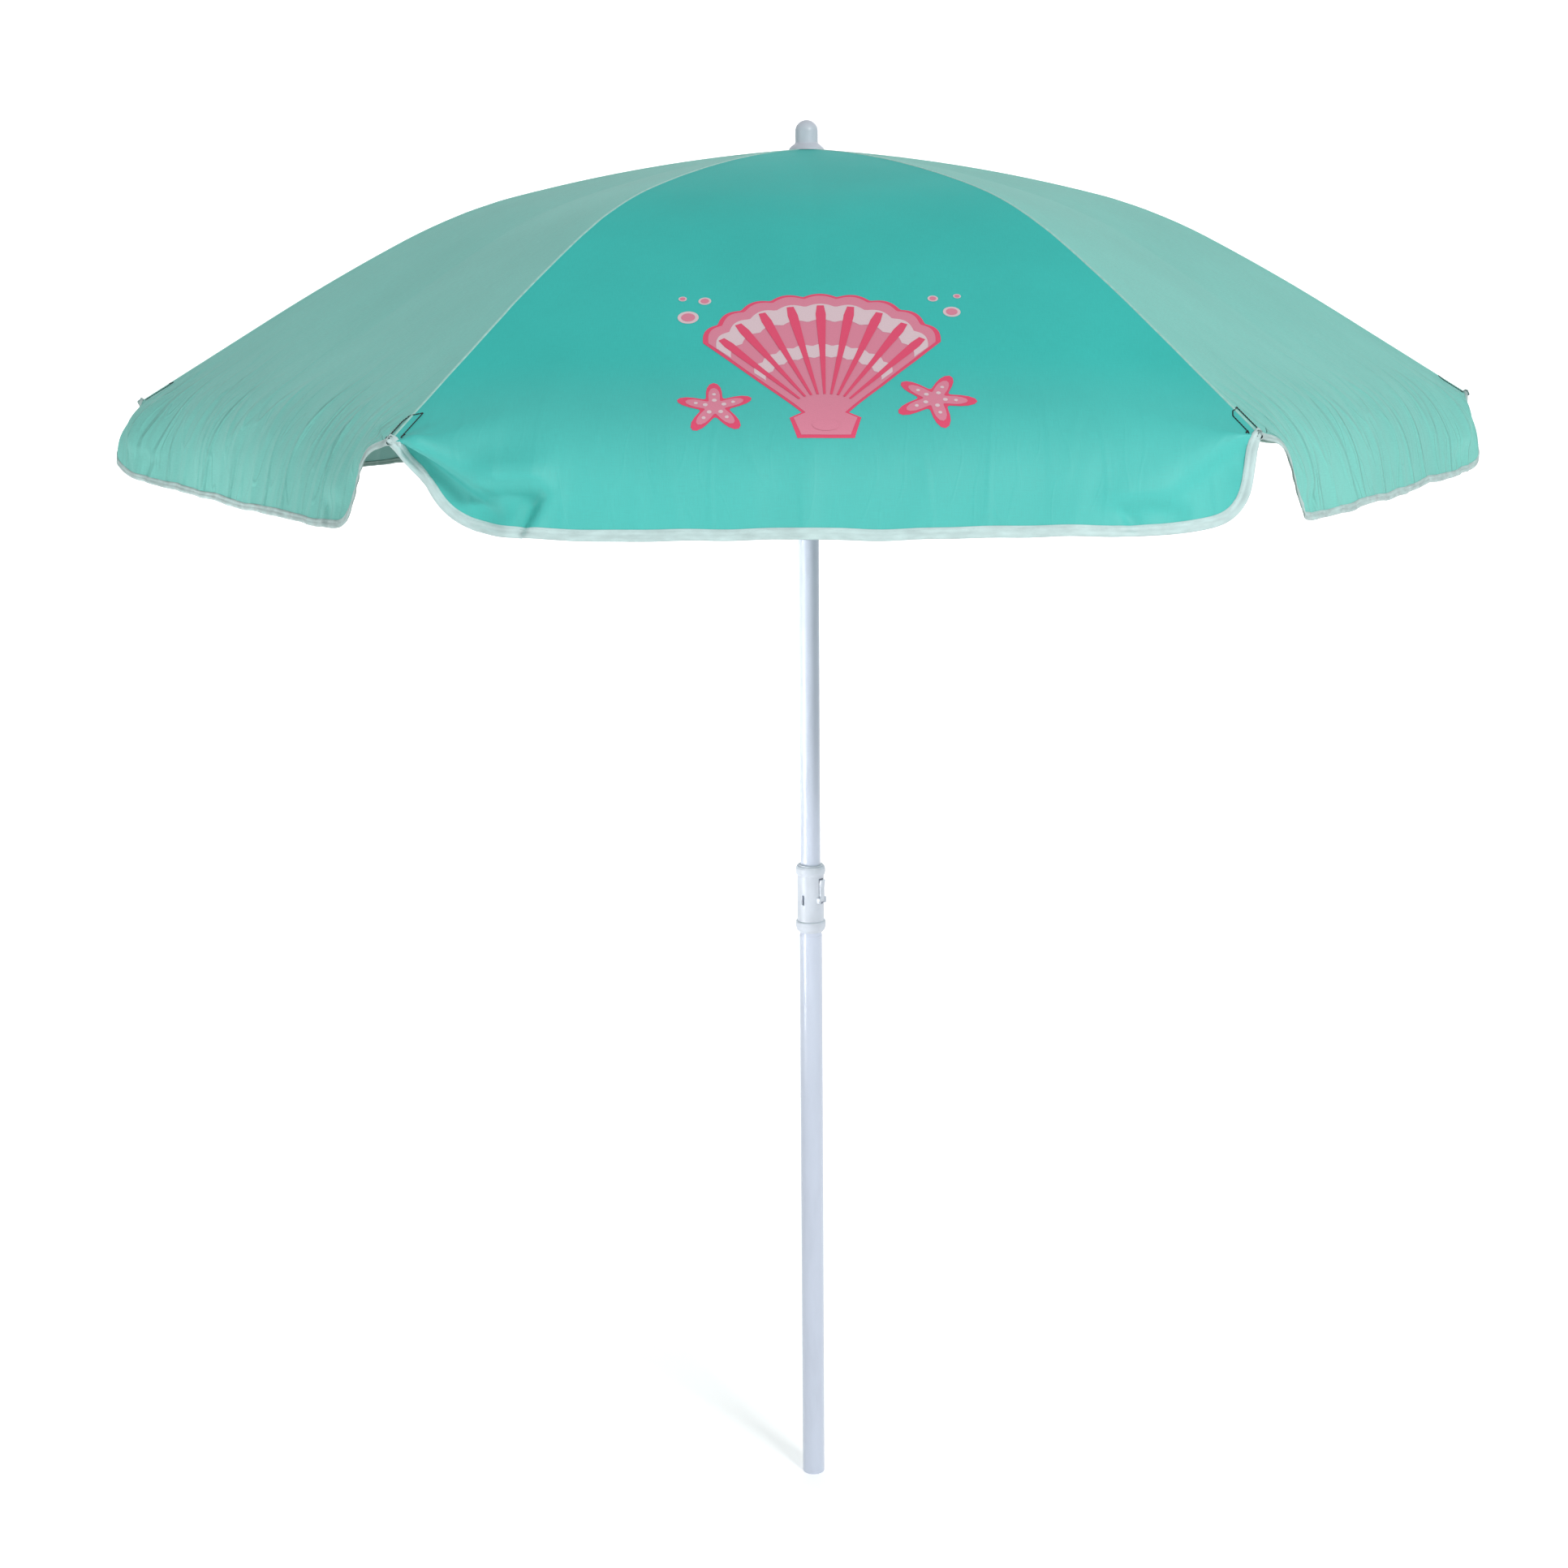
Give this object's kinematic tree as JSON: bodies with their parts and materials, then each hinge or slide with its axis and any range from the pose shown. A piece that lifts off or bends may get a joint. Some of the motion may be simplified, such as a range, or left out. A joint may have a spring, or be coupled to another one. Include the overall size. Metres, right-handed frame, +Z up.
{
  "type": "beach umbrella",
  "caption": "Round beach umbrella with a telescoping pole, height collar, folding ribs and stretchers, and a panelled canopy with a scalloped valance.",
  "frame": {"origin": "centre of the pole's foot, on its cut end", "axes": "+Z up along the pole, -Y towards the front panel, the one with the printed motif"},
  "size_m": [1.4, 1.2524, 1.521],
  "materials": {
    "pole_paint": "satin bluish white powder coat",
    "white_plastic": "milky white moulded plastic",
    "galvanised_wire": "galvanised",
    "plated_steel": "zinc plated",
    "teal_cloth": "plain-weave polyester",
    "mint_cloth": "plain-weave polyester",
    "binding_tape": "folded woven tape",
    "print_pink": "screen print",
    "black_thread": "sewing thread"
  },
  "bodies": {
    "lower": {"lower_pole": "pole_paint", "foot_plug": "white_plastic", "height_collar": "white_plastic", "collar_bush": "white_plastic", "lever_pin": "plated_steel"},
    "lever": {"height_lever": "white_plastic"},
    "upper": {"upper_pole": "pole_paint", "pole_glide": "white_plastic", "crown_hub": "white_plastic", "crown_pins": "plated_steel", "crown_rivet": "plated_steel", "canopy_washer": "white_plastic", "finial_cap": "white_plastic"},
    "runner": {"runner": "white_plastic", "runner_pins": "plated_steel", "catch_pin": "plated_steel", "catch_spring": "plated_steel"},
    "catch": {"runner_catch": "white_plastic"},
    "rib_1": {"rib_1": "galvanised_wire", "rib_clip_1": "white_plastic", "rib_tip_1": "white_plastic", "panel_1_near": "teal_cloth", "panel_6_far": "mint_cloth"},
    "stretcher_1": {"stretcher_1": "galvanised_wire", "stretcher_rivet_1": "plated_steel"},
    "rib_2": {"rib_2": "galvanised_wire", "rib_clip_2": "white_plastic", "rib_tip_2": "white_plastic", "panel_2_near": "mint_cloth", "panel_1_far": "teal_cloth"},
    "stretcher_2": {"stretcher_2": "galvanised_wire", "stretcher_rivet_2": "plated_steel"},
    "rib_3": {"rib_3": "galvanised_wire", "rib_clip_3": "white_plastic", "rib_tip_3": "white_plastic", "panel_3_near": "teal_cloth", "panel_2_far": "mint_cloth"},
    "stretcher_3": {"stretcher_3": "galvanised_wire", "stretcher_rivet_3": "plated_steel"},
    "rib_4": {"rib_4": "galvanised_wire", "rib_clip_4": "white_plastic", "rib_tip_4": "white_plastic", "panel_4_near": "mint_cloth", "panel_3_far": "teal_cloth"},
    "stretcher_4": {"stretcher_4": "galvanised_wire", "stretcher_rivet_4": "plated_steel"},
    "rib_5": {"rib_5": "galvanised_wire", "rib_clip_5": "white_plastic", "rib_tip_5": "white_plastic", "panel_5_near": "teal_cloth", "panel_4_far": "mint_cloth"},
    "stretcher_5": {"stretcher_5": "galvanised_wire", "stretcher_rivet_5": "plated_steel"},
    "rib_6": {"rib_6": "galvanised_wire", "rib_clip_6": "white_plastic", "rib_tip_6": "white_plastic", "panel_6_near": "mint_cloth", "panel_5_far": "teal_cloth"},
    "stretcher_6": {"stretcher_6": "galvanised_wire", "stretcher_rivet_6": "plated_steel"}
  },
  "joints": [
    {"name": "height_slide", "type": "slide", "parent": "lower", "child": "upper", "axis": [0, 0, 1], "range_m": [-0.12, 0.1]},
    {"name": "lever_swing", "type": "hinge", "parent": "lower", "child": "lever", "pos_m": [0.01174, -0.00917, 0.6915], "axis": [0.6157, 0.788, 0], "range_deg": [0, 35]},
    {"name": "runner_slide", "type": "slide", "parent": "upper", "child": "runner", "axis": [0, 0, -1], "range_m": [0, 0.3741], "deforming": ["panel_1_near", "panel_1_far", "panel_2_near", "panel_2_far", "panel_3_near", "panel_3_far", "panel_4_near", "panel_4_far", "panel_5_near", "panel_5_far", "panel_6_near", "panel_6_far"]},
    {"name": "catch_press", "type": "hinge", "parent": "runner", "child": "catch", "pos_m": [0, -0.0172, 1.2535], "axis": [1, 0, 0], "range_deg": [0, 8], "stiffness_Nm_per_rad": 0.3, "springref_deg": -2.86, "deforming": ["catch_spring"]},
    {"name": "rib_1_fold", "type": "hinge", "parent": "upper", "child": "rib_1", "pos_m": [0.018, 0, 1.482], "axis": [0, 1, 0], "range_deg": [0, 64.05]},
    {"name": "stretcher_1_swing", "type": "hinge", "parent": "runner", "child": "stretcher_1", "pos_m": [0.02, 0, 1.2775], "axis": [0, -1, 0], "range_deg": [0, 46.2]},
    {"name": "rib_2_fold", "type": "hinge", "parent": "upper", "child": "rib_2", "pos_m": [0.009, 0.01559, 1.482], "axis": [-0.866, 0.5, 0], "range_deg": [0, 64.05]},
    {"name": "stretcher_2_swing", "type": "hinge", "parent": "runner", "child": "stretcher_2", "pos_m": [0.01, 0.01732, 1.2775], "axis": [0.866, -0.5, 0], "range_deg": [0, 46.2]},
    {"name": "rib_3_fold", "type": "hinge", "parent": "upper", "child": "rib_3", "pos_m": [-0.009, 0.01559, 1.482], "axis": [-0.866, -0.5, 0], "range_deg": [0, 64.05]},
    {"name": "stretcher_3_swing", "type": "hinge", "parent": "runner", "child": "stretcher_3", "pos_m": [-0.01, 0.01732, 1.2775], "axis": [0.866, 0.5, 0], "range_deg": [0, 46.2]},
    {"name": "rib_4_fold", "type": "hinge", "parent": "upper", "child": "rib_4", "pos_m": [-0.018, 0, 1.482], "axis": [0, -1, 0], "range_deg": [0, 64.05]},
    {"name": "stretcher_4_swing", "type": "hinge", "parent": "runner", "child": "stretcher_4", "pos_m": [-0.02, 0, 1.2775], "axis": [0, 1, 0], "range_deg": [0, 46.2]},
    {"name": "rib_5_fold", "type": "hinge", "parent": "upper", "child": "rib_5", "pos_m": [-0.009, -0.01559, 1.482], "axis": [0.866, -0.5, 0], "range_deg": [0, 64.05]},
    {"name": "stretcher_5_swing", "type": "hinge", "parent": "runner", "child": "stretcher_5", "pos_m": [-0.01, -0.01732, 1.2775], "axis": [-0.866, 0.5, 0], "range_deg": [0, 46.2]},
    {"name": "rib_6_fold", "type": "hinge", "parent": "upper", "child": "rib_6", "pos_m": [0.009, -0.01559, 1.482], "axis": [0.866, 0.5, 0], "range_deg": [0, 64.05]},
    {"name": "stretcher_6_swing", "type": "hinge", "parent": "runner", "child": "stretcher_6", "pos_m": [0.01, -0.01732, 1.2775], "axis": [-0.866, -0.5, 0], "range_deg": [0, 46.2]}
  ],
  "couplings": [
    {"joint": "rib_1_fold", "follows": "runner_slide", "rad_per_m": 2.9859},
    {"joint": "stretcher_1_swing", "follows": "runner_slide", "rad_per_m": 2.1531},
    {"joint": "rib_2_fold", "follows": "runner_slide", "rad_per_m": 2.9859},
    {"joint": "stretcher_2_swing", "follows": "runner_slide", "rad_per_m": 2.1531},
    {"joint": "rib_3_fold", "follows": "runner_slide", "rad_per_m": 2.9859},
    {"joint": "stretcher_3_swing", "follows": "runner_slide", "rad_per_m": 2.1531},
    {"joint": "rib_4_fold", "follows": "runner_slide", "rad_per_m": 2.9859},
    {"joint": "stretcher_4_swing", "follows": "runner_slide", "rad_per_m": 2.1531},
    {"joint": "rib_5_fold", "follows": "runner_slide", "rad_per_m": 2.9859},
    {"joint": "stretcher_5_swing", "follows": "runner_slide", "rad_per_m": 2.1531},
    {"joint": "rib_6_fold", "follows": "runner_slide", "rad_per_m": 2.9859},
    {"joint": "stretcher_6_swing", "follows": "runner_slide", "rad_per_m": 2.1531}
  ]
}
